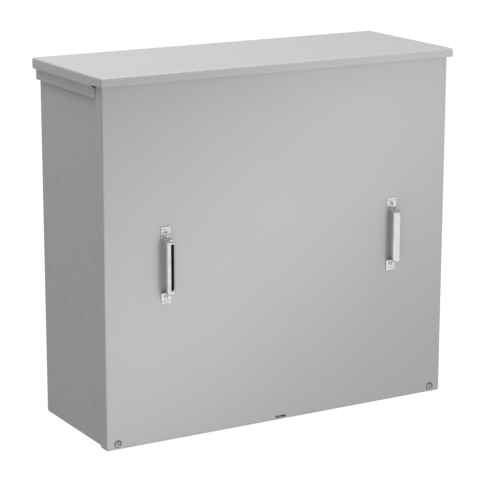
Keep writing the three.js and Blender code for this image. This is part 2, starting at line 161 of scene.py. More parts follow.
def turned(profile, x, z, steps=ROUND_STEPS):
    """A piece turned about a line along Y, from [radius, y] points, front point first."""
    return rings([circle(x, y, z, max(radius, POINTED), steps) for radius, y in profile])


def arc(centre_2d, radius, start, end, steps=BEND_STEPS):
    """Points of an arc, with its angles in degrees."""
    angles = [math.radians(start + (end - start) * k / steps) for k in range(steps + 1)]
    return [(centre_2d[0] + radius * math.cos(a), centre_2d[1] + radius * math.sin(a))
            for a in angles]


def filleted(corners, steps=BEND_STEPS):
    """An open path through (a, b, radius) corners, as Vectors with their corners rounded."""
    path = [Vector(corners[0][:2])]
    for before, (a, b, radius), after in zip(corners, corners[1:], corners[2:]):
        corner = Vector((a, b))
        back = (Vector(before[:2]) - corner).normalized()
        on = (Vector(after[:2]) - corner).normalized()
        half = back.angle(on) / 2
        middle = corner + (back + on).normalized() * radius / math.sin(half)
        start = corner + back * radius / math.tan(half) - middle
        end = corner + on * radius / math.tan(half) - middle
        sweep = start.angle_signed(end)
        for k in range(steps + 1):
            turn = Matrix.Rotation(-sweep * k / steps, 2)
            path.append(middle + turn @ start)
    path.append(Vector(corners[-1][:2]))
    return path


def offset(path, distance):
    """The path moved to its left by a distance, corner by corner."""
    moved = []
    for k, point in enumerate(path):
        before = (point - path[k - 1]).normalized() if k else None
        after = (path[k + 1] - point).normalized() if k + 1 < len(path) else None
        along = ((before or after) + (after or before)).normalized()
        stretch = 1 / max(along.dot(before or after), MITRE_LIMIT)
        moved.append(point + Vector((-along.y, along.x)) * distance * stretch)
    return moved


def rounded_rectangle(low, high, inset, radius):
    """Corner-by-corner points of a rectangle, drawn in by an inset that its corners follow."""
    turn = max(radius - inset, SHARP)
    x0, x1, y0, y1 = low[0] + inset, high[0] - inset, low[1] + inset, high[1] - inset
    points = arc((x1 - turn, y0 + turn), turn, -90, 0)
    points += arc((x1 - turn, y1 - turn), turn, 0, 90)
    points += arc((x0 + turn, y1 - turn), turn, 90, 180)
    points += arc((x0 + turn, y0 + turn), turn, 180, 270)
    return points


def pan(low, high, walls, place):
    """A pressed pan with rounded corners. low and high are its outer corners across the floor,
    walls the (inset, height) path from the floor's edge to the rim, and place turns
    (across, along, height) into a point."""
    inner = offset(walls, -SHEET)
    loops = [rounded_rectangle(low, high, p.x, BEND) for p in walls]
    inner_loops = [rounded_rectangle(low, high, p.x, BEND) for p in inner]
    heights = [p.y for p in walls] + [p.y for p in reversed(inner)]
    all_loops = loops + inner_loops[::-1]
    return rings([[place(a, b, height) for a, b in loop]
                  for loop, height in zip(all_loops, heights)])


def folded_wall(rim):
    """The wall of a plain tray: out of the floor, round the bend and up to the rim."""
    return filleted([(2 * BEND, 0), (0, 0, BEND), (0, rim)])


def loft_threads(x, z, radius, pitch, y_from, y_to, steps=32):
    """A threaded shank along Y, with a chamfered tip at y_to."""
    depth = THREAD_DEPTH * pitch
    loops = []
    count = math.ceil(abs(y_to - y_from) / pitch * THREAD_STEPS)
    for k in range(count + 1):
        y = y_from + (y_to - y_from) * k / count
        tip = min(1, abs(y_to - y) / pitch)
        loop = []
        for step in range(steps):
            phase = ((y - y_from) / pitch + step / steps) % 1
            cut = depth * abs(2 * phase - 1)
            reach = min(radius - cut, radius - depth * (1 - tip))
            angle = math.tau * step / steps
            loop.append(Vector((x + reach * math.cos(angle), y, z + reach * math.sin(angle))))
        loops.append(loop)
    return rings(loops)


def hexagon(x, z, across_flats, y_from, y_to):
    """A hexagonal block along Y with its corners up and down."""
    corner = across_flats / math.sqrt(3)
    return rings([circle(x, y, z, corner, 6, math.pi / 2) for y in (y_from, y_to)])


# ---------------------------------------------------------------- meshes

MERGED = 2e-6  # points closer than this become one
NO_LENGTH = 1e-6  # edges shorter than this are taken out
SMOOTHED = math.radians(40)  # faces that meet at less than this are shaded as one surface
EDGE_FROM = math.radians(35)  # edges that turn more than this are rounded
EDGE_SEGMENTS = 3


def in_scene(name, data):
    """A new object of the scene."""
    made = bpy.data.objects.new(name, data)
    bpy.context.scene.collection.objects.link(made)
    return made


def evaluated_mesh(body):
    """A copy of an object's mesh with its modifiers applied."""
    return bpy.data.meshes.new_from_object(
        body.evaluated_get(bpy.context.evaluated_depsgraph_get()))


def mesh_of(*shapes):
    """One clean mesh from (points, faces) shapes."""
    bm = bmesh.new()
    for points, faces in shapes:
        made = [bm.verts.new(p) for p in points]
        for face in faces:
            bm.faces.new([made[k] for k in face])
    bmesh.ops.remove_doubles(bm, verts=bm.verts, dist=MERGED)
    bmesh.ops.dissolve_degenerate(bm, edges=bm.edges, dist=NO_LENGTH)
    bmesh.ops.recalc_face_normals(bm, faces=bm.faces)
    mesh = bpy.data.meshes.new("made")
    bm.to_mesh(mesh)
    bm.free()
    return mesh


def combined(mesh, operation, tool):
    """The mesh joined with, cut by or kept within a tool mesh."""
    body = in_scene("body", mesh)
    cutter = in_scene("cutter", tool)
    modifier = body.modifiers.new("join", "BOOLEAN")
    modifier.operation = operation
    modifier.object = cutter
    modifier.solver = "EXACT"
    result = evaluated_mesh(body)
    bpy.data.objects.remove(body)
    bpy.data.objects.remove(cutter)
    return result


def cut(mesh, *shapes):
    return combined(mesh, "DIFFERENCE", mesh_of(*shapes))


def joined(mesh, *shapes):
    return combined(mesh, "UNION", mesh_of(*shapes))


def shaded(mesh):
    """Gives every corner the normal of the faces it blends with, the large ones counting most,
    so that flats stay flat and bends and rounded edges shade smoothly."""
    around = [[] for _ in mesh.vertices]
    faces = [(face.normal.copy(), face.area) for face in mesh.polygons]
    for face in mesh.polygons:
        face.use_smooth = True
        for vertex in face.vertices:
            around[vertex].append(face.index)
    limit = math.cos(SMOOTHED)
    normals = []
    for face in mesh.polygons:
        own = faces[face.index][0]
        for vertex in face.vertices:
            total = Vector()
            for other in around[vertex]:
                normal, area = faces[other]
                if normal.dot(own) > limit:
                    total += normal * area
            normals.append(total.normalized() if total.length > 0 else own)
    mesh.normals_split_custom_set(normals)


def edge_rounded(mesh, width):
    """The mesh with its sharp edges rounded."""
    body = in_scene("body", mesh)
    bevel = body.modifiers.new("edges", "BEVEL")
    bevel.width = width
    bevel.segments = EDGE_SEGMENTS
    bevel.limit_method = "ANGLE"
    bevel.angle_limit = EDGE_FROM
    result = evaluated_mesh(body)
    bpy.data.objects.remove(body)
    return result


def piece(name, mesh, body, slot, material, edge, *nodes):
    """A finished piece: its edges rounded, its shading smooth, riding on its body."""
    if edge:
        mesh = edge_rounded(mesh, edge)
    mesh.name = name
    mesh.materials.clear()
    mesh.materials.append(material)
    shaded(mesh)
    made = in_scene(name, mesh)
    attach(made, body)
    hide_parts(*nodes)
    return made


# ---------------------------------------------------------------- material nodes

# A mix node has sockets for every kind of value; these are the ones used here.
COLOUR_A, COLOUR_B, COLOUR_OUT = 6, 7, 2
VECTOR_A, VECTOR_B, VECTOR_OUT = 4, 5, 1
EDGE_SAMPLES = 4
EDGE_TONES = (0.85, 0.995)  # how far the rounded normal leans, at a full edge and at none


class Nodes:
    """A new material and short ways to add nodes to it."""

    def __init__(self, name):
        self.material = bpy.data.materials.new(name)
        self.material.use_nodes = True
        self.tree = self.material.node_tree
        self.shader = self.tree.nodes["Principled BSDF"]
        self.place = self.node("ShaderNodeTexCoord").outputs["Object"]

    def node(self, kind, **settings):
        made = self.tree.nodes.new(kind)
        for key, value in settings.items():
            setattr(made, key, value)
        return made

    def link(self, source, target):
        self.tree.links.new(source, target)

    def set(self, **values):
        for key, value in values.items():
            self.shader.inputs[key.replace("_", " ")].default_value = value

    def noise(self, scale, detail=2.0, stretch=None):
        """A noise's grey value; scale is in features per metre."""
        made = self.node("ShaderNodeTexNoise")
        made.inputs["Scale"].default_value = scale
        made.inputs["Detail"].default_value = detail
        self.link(self.stretched(stretch) if stretch else self.place, made.inputs["Vector"])
        return made.outputs["Fac"]

    def stretched(self, scale):
        made = self.node("ShaderNodeMapping")
        made.inputs["Scale"].default_value = scale
        self.link(self.place, made.inputs["Vector"])
        return made.outputs["Vector"]

    def ramp(self, source, low, high, start=0.3, end=0.7):
        """Maps a grey value from start..end to low..high."""
        made = self.node("ShaderNodeMapRange")
        for name, value in (("From Min", start), ("From Max", end),
                            ("To Min", low), ("To Max", high)):
            made.inputs[name].default_value = value
        self.link(source, made.inputs["Value"])
        return made.outputs["Result"]

    def math(self, operation, a, b):
        made = self.node("ShaderNodeMath", operation=operation)
        for value, socket in zip((a, b), made.inputs):
            if isinstance(value, (int, float)):
                socket.default_value = value
            else:
                self.link(value, socket)
        return made.outputs["Value"]

    def mix(self, amount, a, b):
        """A colour between a and b, each a colour or a socket."""
        made = self.node("ShaderNodeMix", data_type="RGBA")
        self.link(amount, made.inputs["Factor"])
        for value, socket in zip((a, b), (made.inputs[COLOUR_A], made.inputs[COLOUR_B])):
            if isinstance(value, tuple):
                socket.default_value = (*value, 1)
            else:
                self.link(value, socket)
        return made.outputs[COLOUR_OUT]

    def edges(self, radius):
        """1 on convex edges and in creases, 0 on flats."""
        soft = self.node("ShaderNodeBevel", samples=EDGE_SAMPLES)
        soft.inputs["Radius"].default_value = radius
        plain = self.node("ShaderNodeNewGeometry")
        dot = self.node("ShaderNodeVectorMath", operation="DOT_PRODUCT")
        self.link(soft.outputs["Normal"], dot.inputs[0])
        self.link(plain.outputs["Normal"], dot.inputs[1])
        return self.ramp(dot.outputs["Value"], 1, 0, *EDGE_TONES)

    def bump(self, *layers):
        """Stacks (height, metres) layers of relief under the shader's normal."""
        below = None
        for height, distance in layers:
            made = self.node("ShaderNodeBump")
            made.inputs["Strength"].default_value = 1
            made.inputs["Distance"].default_value = distance
            self.link(height, made.inputs["Height"])
            if below:
                self.link(below, made.inputs["Normal"])
            below = made.outputs["Normal"]
        self.link(below, self.shader.inputs["Normal"])


PAINT_COLOUR = (0.168, 0.169, 0.168)


def grey_paint():
    """Light grey powder coat: orange peel, a faint mottle, thinner and lighter on edges."""
    n = Nodes("grey_paint")
    mottle = n.noise(5, 3)
    speckle = n.noise(2600, 1)
    shade = n.mix(n.ramp(mottle, 0, 1), tuple(0.985 * c for c in PAINT_COLOUR), PAINT_COLOUR)
    darker = tuple(0.93 * c for c in PAINT_COLOUR)
    shade = n.mix(n.ramp(speckle, 0.0, 0.6, 0.6, 0.8), shade, darker)
    worn = n.math("MULTIPLY", n.edges(0.0012), n.ramp(n.noise(60, 4), 0.15, 0.6))
    lighter = tuple(1.22 * c for c in PAINT_COLOUR)
    n.link(n.mix(worn, shade, lighter), n.shader.inputs["Base Color"])
    n.link(n.ramp(n.noise(40, 4), 0.36, 0.46), n.shader.inputs["Roughness"])
    n.bump((n.noise(420, 2), 0.00003), (speckle, 0.000006))
    return n.material


def chrome_plate():
    """Bright chrome over polished steel, with lengthwise polishing marks and faint smears."""
    n = Nodes("chrome_plate")
    smears = n.noise(70, 4)
    lines = n.noise(900, 2, stretch=(1, 1, 0.03))
    n.link(n.mix(n.ramp(smears, 0, 1), (0.62, 0.63, 0.64), (0.70, 0.70, 0.70)),
           n.shader.inputs["Base Color"])
    n.link(n.ramp(smears, 0.02, 0.06), n.shader.inputs["Roughness"])
    n.bump((lines, 0.000004), (n.noise(160, 2), 0.00002))
    n.set(Metallic=1.0)
    return n.material


def zinc_plate():
    """Clear zinc: a grey satin metal with faint warm and cool patches."""
    n = Nodes("zinc_plate")
    patches = n.noise(220, 3)
    grain = n.noise(2200, 2)
    colour = n.mix(n.ramp(patches, 0, 1), (0.36, 0.38, 0.40), (0.47, 0.46, 0.43))
    worn = n.math("MULTIPLY", n.edges(0.0004), 0.6)
    n.link(n.mix(worn, colour, (0.62, 0.63, 0.64)), n.shader.inputs["Base Color"])
    n.link(n.ramp(grain, 0.24, 0.42), n.shader.inputs["Roughness"])
    n.bump((grain, 0.00001))
    n.set(Metallic=1.0)
    return n.material


def galvanized_sheet():
    """Hot-dipped zinc with its frosty crystals."""
    n = Nodes("galvanized_sheet")
    crystals = n.node("ShaderNodeTexVoronoi")
    crystals.inputs["Scale"].default_value = 95
    warp = n.node("ShaderNodeTexNoise")
    warp.inputs["Scale"].default_value = 60
    n.link(n.place, warp.inputs["Vector"])
    bent = n.node("ShaderNodeMix", data_type="VECTOR")
    bent.inputs["Factor"].default_value = 0.03
    n.link(n.place, bent.inputs[VECTOR_A])
    n.link(warp.outputs["Color"], bent.inputs[VECTOR_B])
    n.link(bent.outputs[VECTOR_OUT], crystals.inputs["Vector"])
    tone = n.node("ShaderNodeSeparateColor")
    n.link(crystals.outputs["Color"], tone.inputs["Color"])
    frost = n.math("ADD", n.math("MULTIPLY", n.noise(900, 4), 0.25), tone.outputs["Red"])
    n.link(n.mix(n.ramp(frost, 0, 1, 0, 1.2), (0.40, 0.42, 0.44), (0.63, 0.65, 0.67)),
           n.shader.inputs["Base Color"])
    n.link(n.ramp(tone.outputs["Green"], 0.30, 0.52, 0, 1), n.shader.inputs["Roughness"])
    n.bump((frost, 0.00003))
    n.set(Metallic=1.0)
    return n.material


def seal_rubber():
    """Black sealing rubber, matt with a fine bloom."""
    n = Nodes("seal_rubber")
    bloom = n.noise(500, 4)
    n.link(n.mix(n.ramp(bloom, 0, 1), (0.012, 0.012, 0.013), (0.035, 0.035, 0.036)),
           n.shader.inputs["Base Color"])
    n.link(n.ramp(bloom, 0.6, 0.85), n.shader.inputs["Roughness"])
    n.bump((n.noise(1500, 3), 0.00002))
    return n.material


PAINT = grey_paint()
CHROME = chrome_plate()
ZINC = zinc_plate()
GALVANIZED = galvanized_sheet()
SEAL = seal_rubber()


def painted(node, mesh, body="cabinet"):
    return piece(f"{node}_sheet", mesh, body, "grey_paint", PAINT, SHEET_EDGE, node)


# ---------------------------------------------------------------- the painted sheets


def facing_front(y):
    """Places (across, up, depth) of a sheet that faces the front at y."""
    return lambda a, b, depth: Vector((a, y + depth, b))


def dimple(x, z):
    """The hollow and the boss that a pressing leaves in the cover, and the screw's hole."""
    hollow = [(DIMPLE_RIM_RADIUS + RIM_ROUND, -PAST), (DIMPLE_RIM_RADIUS + RIM_ROUND, 0)]
    boss = [(DIMPLE_RIM_RADIUS + SHEET + RIM_ROUND, SHEET / 2)]
    slope = DIMPLE_RIM_RADIUS - DIMPLE_FLOOR_RADIUS
    for k in range(1, BEND_STEPS + 1):
        share = k / BEND_STEPS
        fall = 0.5 - 0.5 * math.cos(math.pi * share)
        radius = DIMPLE_RIM_RADIUS + RIM_ROUND - (slope + RIM_ROUND) * share
        hollow.append((radius, DIMPLE_DEPTH * fall))
        boss.append((radius + SHEET * BOSS_THINNING, SHEET + DIMPLE_DEPTH * fall))
    ends = ((0, -PAST), (0, DIMPLE_DEPTH), (0, SHEET / 2), (0, SHEET + DIMPLE_DEPTH))
    hollow = [ends[0], *hollow, ends[1]]
    boss = [ends[2], *boss, ends[3]]
    bore = [(0, -PAST), (CORNER_BORE, -PAST), (CORNER_BORE, BORE_DEPTH), (0, BORE_DEPTH)]
    return [turned([(r, FACE + y) for r, y in profile], x, z) for profile in (hollow, boss, bore)]


def slot_cutter(corners, face):
    """A slot with rounded corners, through a sheet that faces the front."""
    outline = rounded_rectangle(*corners, 0, SLOT_CORNER)
    return rings([[Vector((a, y, b)) for a, b in outline]
                  for y in (face - PAST, face + SHEET + PAST)])


def hole(x, z, radius, y_from, y_to):
    return turned([(0, y_from), (radius, y_from), (radius, y_to), (0, y_to)], x, z)


def folded_cover():
    """The cover's face with its side folds and its short bottom lip, open at the top."""
    low = (cover_low.x, cover_low.z)
    high = (cover_high.x, cover_high.z + TRIM)
    rim = cover_high.y - FACE
    mesh = mesh_of(pan(low, high, folded_wall(rim), facing_front(FACE)))
    inner = cover_high.x - SHEET
    open_top = block((low[0] - PAST, FACE - PAST, cover_high.z),
                     (high[0] + PAST, FACE + rim + PAST, high[1] + PAST))
    short_lip = block((-inner, FACE + COVER_LIP, low[1] - PAST),
                      (inner, FACE + rim + PAST, low[1] + SHEET + PAST))
    return cut(cut(mesh, open_top), short_lip)


def cover_sheet():
    screws = [centre(f"{side}_corner_screw") for side, _ in SIDES]
    dimples = [dimple(c.x, c.z) for c in screws]
    mesh = joined(folded_cover(), *[boss for _, boss, _ in dimples])
    mesh = cut(mesh, *[hollow for hollow, _, _ in dimples])
    mesh = cut(mesh, *[bore for _, _, bore in dimples])
    pulls = [centre(f"{side}_handle_{level}_screw")
             for side, _ in SIDES for level in reversed(LEVELS)]
    bores = [hole(c.x, c.z, HANDLE_BORE, FACE - PAST, FACE + SHEET + PAST) for c in pulls]
    return cut(mesh, *bores, slot_cutter(SLOT, FACE))


def cap_sheet():
    """The drip cap: a pan upside down, its skirts stepped in, with the front cut short."""
    low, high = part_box("top_cap")
    skirt = high.z - low.z
    walls = filleted([
        (2 * BEND, 0), (0, 0, BEND), (0, SKIRT_UPPER, STEP_RADIUS),
        (SKIRT_OFFSET, SKIRT_UPPER + SKIRT_STEP, STEP_RADIUS), (SKIRT_OFFSET, skirt)])
    mesh = mesh_of(pan((low.x, low.y), (high.x, high.y + TRIM), walls,
                       lambda a, b, depth: Vector((a, b, high.z - depth))))
    behind = block((low.x - PAST, high.y, low.z - PAST),
                   (high.x + PAST, high.y + TRIM + PAST, high.z + PAST))
    under_flange = block((low.x - PAST, low.y - PAST, low.z - PAST),
                         (high.x + PAST, FACE + SKIRT_FRONT, high.z - CAP_FLANGE))
    return cut(cut(mesh, behind), under_flange)


def side_sheet(side, sign):
    node = f"{side}_side_panel"
    low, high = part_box(node)
    outer = low.x if sign < 0 else high.x
    mesh = mesh_of(pan((low.y, low.z), (high.y, high.z), folded_wall(high.x - low.x),
                       lambda a, b, depth: Vector((outer - sign * depth, a, b))))
    screw = centre(f"{side}_corner_screw")
    return cut(mesh, hole(screw.x, screw.z, CORNER_BORE, low.y - PAST, low.y + SHEET + PAST))


def back_sheet():
    low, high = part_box("back_panel")
    mesh = mesh_of(block(low, high))
    holes = [hole(sign * WALL_HOLE_X, z, WALL_HOLE_RADIUS, low.y - PAST, high.y + PAST)
             for _, sign in SIDES for z in WALL_HOLE_Z]
    return cut(mesh, *holes)


def bottom_sheet():
    low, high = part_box("bottom_panel")
    mesh = mesh_of(pan((low.x, low.y), (high.x, high.y), folded_wall(high.z - low.z),
                       lambda a, b, depth: Vector((a, b, low.z + depth))))
    return_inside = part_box("right_side_panel")[0].x
    nut_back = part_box("left_corner_nut")[1].y
    reliefs = []
    for _, sign in SIDES:
        ends = sorted((sign * return_inside, sign * (high.x + PAST)))
        reliefs.append(block((ends[0], low.y - PAST, low.z + SHEET),
                             (ends[1], nut_back + BEND, high.z + PAST)))
    return cut(cut(mesh, *reliefs), slot_cutter(REAR_SLOT, low.y))


def header_sheet():
    """The channel across the top of the opening, open at both ends."""
    low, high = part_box("header_rail")
    mesh = mesh_of(pan((low.x - HEADER_TRIM, low.z), (high.x + HEADER_TRIM, high.z),
                       folded_wall(high.y - low.y), facing_front(low.y)))
    ends = []
    reach = HEADER_TRIM + PAST
    for x_from, x_to in ((low.x - reach, low.x), (high.x, high.x + reach)):
        ends.append(block((x_from, low.y - PAST, low.z - PAST),
                          (x_to, high.y + PAST, high.z + PAST)))
    return cut(mesh, *ends)


def subpanel_sheet():
    low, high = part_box("subpanel")
    mesh = mesh_of(pan((low.x, low.z), (high.x, high.z), folded_wall(high.y - low.y),
                       facing_front(low.y)))
    holes = []
    for level in LEVELS:
        for side, _ in SIDES:
            stud = centre(f"subpanel_stud_{level}_{side}")
            holes.append(hole(stud.x, stud.z, STUD_BORE, low.y - PAST, low.y + SHEET + PAST))
    return cut(mesh, *holes)


painted("cover_panel", cover_sheet(), "cover")
painted("top_cap", cap_sheet())
painted("back_panel", back_sheet())
painted("bottom_panel", bottom_sheet())
painted("header_rail", header_sheet())
for side, sign in SIDES:
    painted(f"{side}_side_panel", side_sheet(side, sign))
piece("subpanel_sheet", subpanel_sheet(), "cabinet", "galvanized_sheet", GALVANIZED, SHEET_EDGE,
      "subpanel")

# ---------------------------------------------------------------- the pulls


def smooth(value, start, end):
    """0 before the start, 1 after the end and an easy rise between them."""
    share = min(max((value - start) / (end - start), 0), 1)
    return share * share * (3 - 2 * share)


def pull_path(low, high, leg):
    """The outer line of a pull in (y, z), from the top of its upper pad to the foot."""
    middle = (low.z + high.z) / 2
    pad = FACE - GAP - STRAP
    return filleted([
        (pad, high.z), (pad, middle + leg, PULL_FOOT), (low.y, middle + leg, PULL_SHOULDER),
        (low.y, middle - leg, PULL_SHOULDER), (pad, middle - leg, PULL_FOOT), (pad, low.z)],
        PULL_STEPS)


def pull_section(across, deep, facet, point, normal):
    """A closed loop round the pressed strap: a flat face, a facet along each edge and the
    edges turned back behind it."""
    half = across / 2
    turn = min(FACET_ROUND, facet / 2)
    outer = filleted([(-half, -deep), (-half, -facet, turn), (facet - half, 0, turn),
                      (half - facet, 0, turn), (half, -facet, turn), (half, -deep)], FACET_STEPS)
    inside = half - min(STRAP, deep / 2)
    front = -min(STRAP, deep - PULL_MEET)
    room = min(max(front + deep, PULL_MEET) * FOLD_ROOM, inside * FOLD_ROOM)
    corner = min(max(facet - STRAP / 2, PULL_MEET), room)
    inner = [(inside, -deep), (inside, front - corner), (inside - corner, front),
             (corner - inside, front), (-inside, front - corner), (-inside, -deep)]
    return [point + Vector((a, 0, 0)) + normal * max(b, -deep) for a, b in [*outer, *inner]]


def divided(path, longest):
    """The path with points added, so that no stretch is much over the longest."""
    points = [path[0]]
    for a, b in zip(path, path[1:]):
        parts = max(1, round((b - a).length / longest))
        points += [a.lerp(b, k / parts) for k in range(1, parts + 1)]
    return points


def pull_sections(low, high):
    """Sections all the way down a pull: flat pads, legs that narrow, and a deep faceted grip."""
    x = (low.x + high.x) / 2
    middle = (low.z + high.z) / 2
    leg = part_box("left_handle_upper_screw")[0].z - middle - PULL_FOOT_SPACE
    path = pull_path(low, high, leg)
    dense = divided(path, PULL_STEP)
    for k, at in enumerate(dense):
        along = (dense[min(k + 1, len(dense) - 1)] - dense[max(k - 1, 0)]).normalized()
        normal = Vector((0, along.y, -along.x))
        out = (FACE - at.x) / (FACE - low.y)
        from_shoulder = leg - abs(at.y - middle)
        deep = STRAP + PULL_MEET + LEG_TURN * smooth(out, *LEG_TURNS_BACK)
        deep += (GRIP_DEPTH - STRAP - LEG_TURN) * smooth(from_shoulder, *GRIP_DEEPENS)
        across = high.x - low.x
        across += (GRIP_WIDTH - across) * smooth(out, *NARROWING)
        facet = PAD_FACET + (GRIP_FACET - PAD_FACET) * smooth(out, *FACETS_RISE)
        yield pull_section(across, deep, min(facet, deep - PULL_MEET / 2),
                           Vector((x, at.x, at.y)), normal)


def groove(x, z, half_width):
    """The cutter of a shallow line across a pad."""
    y = FACE - GAP - STRAP - GROOVE_RADIUS + GROOVE_DEPTH
    outline = [(y + GROOVE_RADIUS * math.cos(math.tau * k / ROUND_STEPS),
                z + GROOVE_RADIUS * math.sin(math.tau * k / ROUND_STEPS))
               for k in range(ROUND_STEPS)]
    return rings([[Vector((end, b, c)) for b, c in outline]
                  for end in (x - half_width, x + half_width)])


def pull_mesh(side):
    low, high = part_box(f"{side}_handle")
    x = (low.x + high.x) / 2
    mesh = mesh_of(rings(list(pull_sections(low, high))))
    half_width = (high.x - low.x) / 2 + PAST
    for level in reversed(LEVELS):
        screw = centre(f"{side}_handle_{level}_screw").z
        mesh = cut(mesh, hole(x, screw, HANDLE_BORE, FACE - BORE_DEPTH, FACE))
        end = high.z - GROOVE_INSET if level == "upper" else low.z + GROOVE_INSET
        mesh = cut(mesh, groove(x, end, half_width))
    return mesh


for side, _ in SIDES:
    piece(f"{side}_pull", pull_mesh(side), "cover", "chrome_plate", CHROME, PULL_EDGE,
          f"{side}_handle")

# ---------------------------------------------------------------- fasteners

EASED = 0.0004  # bevel that takes the sharpness off a turned edge
LEAD_IN = 0.0006  # countersink at a nut's mouth
NUT_CHAMFER = math.radians(30)
NUT_FACE = 0.97  # radius left flat on a nut's end, of half its width
FLANGE_RIM = 0.0015
FLANGE_SLOPE = 0.001
DOME_STEPS = 10
DOME_FULLNESS = 0.8  # under 1 fills out a head's shoulders
SCREW_RIM = 0.25  # upright part of a head's side, of its height
CROSS_HALF = 0.23  # half the width of a cross drive's arm, of its length
CROSS_ENDS = ((-0.2, 1.12), (0.75, 0.55))  # depth and size at each end, of its arm
WASHER_BORE = 0.0033
GROUND_BORE = 0.0033
STUD_FLATS = 0.013  # across the flats of a subpanel nut
PLATED_EDGE = 0.00012
CORNER_THREAD = (0.003, 0.00127)  # radius and pitch
PULL_THREAD = (0.0024, 0.0008)
STUD_THREAD = (0.004, 0.00125)
GROUND_THREAD = (0.003, 0.001)


def chamfered_hexagon(x, z, across_flats, y_from, y_to):
    """A hexagon whose corners are turned off at both ends, as on a nut."""
    corner = across_flats / math.sqrt(3) + GAP
    face = across_flats / 2 * NUT_FACE
    fall = (corner - face) * math.tan(NUT_CHAMFER)
    tool = turned([(0, y_from), (face, y_from), (corner, y_from + fall),
                   (corner, y_to - fall), (face, y_to), (0, y_to)], x, z)
    return combined(mesh_of(hexagon(x, z, across_flats, y_from, y_to)), "INTERSECT",
                    mesh_of(tool))


def bore_tool(x, z, radius, y_from, y_to):
    """A bore with a countersink at each mouth."""
    mouth = radius + LEAD_IN + PAST
    return turned([(0, y_from - PAST), (mouth, y_from - PAST), (radius, y_from + LEAD_IN),
                   (radius, y_to - LEAD_IN), (mouth, y_to + PAST), (0, y_to + PAST)], x, z)


def nut_mesh(node, bore):
    low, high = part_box(node)
    at = (low + high) / 2
    mesh = chamfered_hexagon(at.x, at.z, high.x - low.x, low.y, high.y)
    return cut(mesh, bore_tool(at.x, at.z, bore, low.y, high.y))


def flange_nut_mesh(node, across_flats, bore):
    low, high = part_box(node)
    at = (low + high) / 2
    radius = (high.x - low.x) / 2
    rim = high.y - FLANGE_RIM
    skirt = turned([(0, rim - FLANGE_SLOPE), (across_flats / 2, rim - FLANGE_SLOPE),
                    (radius - EASED, rim), (radius, rim + EASED), (radius, high.y - EASED),
                    (radius - EASED, high.y), (0, high.y)], at.x, at.z)
    mesh = chamfered_hexagon(at.x, at.z, across_flats, low.y, rim)
    return cut(joined(mesh, skirt), bore_tool(at.x, at.z, bore, low.y, high.y))


def cross_recess(x, z, y_front, arm):
    """The cutter of a cross drive, narrowing with depth."""
    half = arm * CROSS_HALF
    outline = []
    for quarter_turn in range(4):
        angle = quarter_turn * math.pi / 2
        for a, b in ((half, -half), (arm, -half), (arm, half)):
            outline.append((a * math.cos(angle) - b * math.sin(angle),
                            a * math.sin(angle) + b * math.cos(angle)))
    loops = []
    for depth, scale in CROSS_ENDS:
        loops.append([Vector((x + a * scale, y_front + depth * arm, z + b * scale))
                      for a, b in outline])
    return rings(loops)


def domed_screw(node, seat, radius, pitch):
    """A machine screw with a domed head and a cross drive. seat is where its head rests."""
    low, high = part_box(node)
    at = (low + high) / 2
    head = (high.x - low.x) / 2
    rim = (seat - low.y) * SCREW_RIM
    dome = seat - low.y - rim
    crown = []
    for k in range(DOME_STEPS + 1):
        angle = math.pi / 2 * k / DOME_STEPS
        crown.append((head * math.sin(angle) ** DOME_FULLNESS,
                      seat - rim - dome * math.cos(angle)))
    crown += [(head, seat), (0, seat)]
    mesh = cut(mesh_of(turned(crown, at.x, at.z)), cross_recess(at.x, at.z, low.y, head / 2))
    return joined(mesh, loft_threads(at.x, at.z, radius, pitch, seat - EASED, high.y))


def stud_mesh(node, shoulder, radius, pitch):
    """A threaded stud pointing to the front, on a collar that starts at the shoulder."""
    low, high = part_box(node)
    at = (low + high) / 2
    collar = (high.x - low.x) / 2
    foot = turned([(0, shoulder), (collar - EASED, shoulder), (collar, shoulder + EASED),
                   (collar, high.y), (0, high.y)], at.x, at.z)
    return joined(mesh_of(foot), loft_threads(at.x, at.z, radius, pitch, shoulder + EASED, low.y))


def seal_ring(node):
    """A bonded seal: a rubber ring with a rounded rim."""
    low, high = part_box(node)
    at = (low + high) / 2
    outer = (high.x - low.x) / 2
    half = (high.y - low.y) / 2
    profile = [(WASHER_BORE, at.y + half - EASED), (WASHER_BORE, at.y - half + EASED)]
    loops = []
    for k in range(BEND_STEPS + 1):
        angle = math.pi * k / BEND_STEPS
        profile.append((outer - half + half * math.sin(angle), at.y - half * math.cos(angle)))
    for radius, y in profile:
        loops.append(circle(at.x, y, at.z, radius))
    points, faces = rings(loops, closed_ends=False)
    last = len(points) - ROUND_STEPS
    for k in range(ROUND_STEPS):
        after = (k + 1) % ROUND_STEPS
        faces.append((last + k, last + after, after, k))
    return mesh_of((points, faces))


def plated(node, mesh, body="cabinet", slot="zinc_plate", material=ZINC, edge=PLATED_EDGE):
    return piece(f"{node}_part", mesh, body, slot, material, edge, node)


def screw_seat(node):
    """Where a head rests: just in front of the piece that it holds."""
    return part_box(node)[0].y - GAP


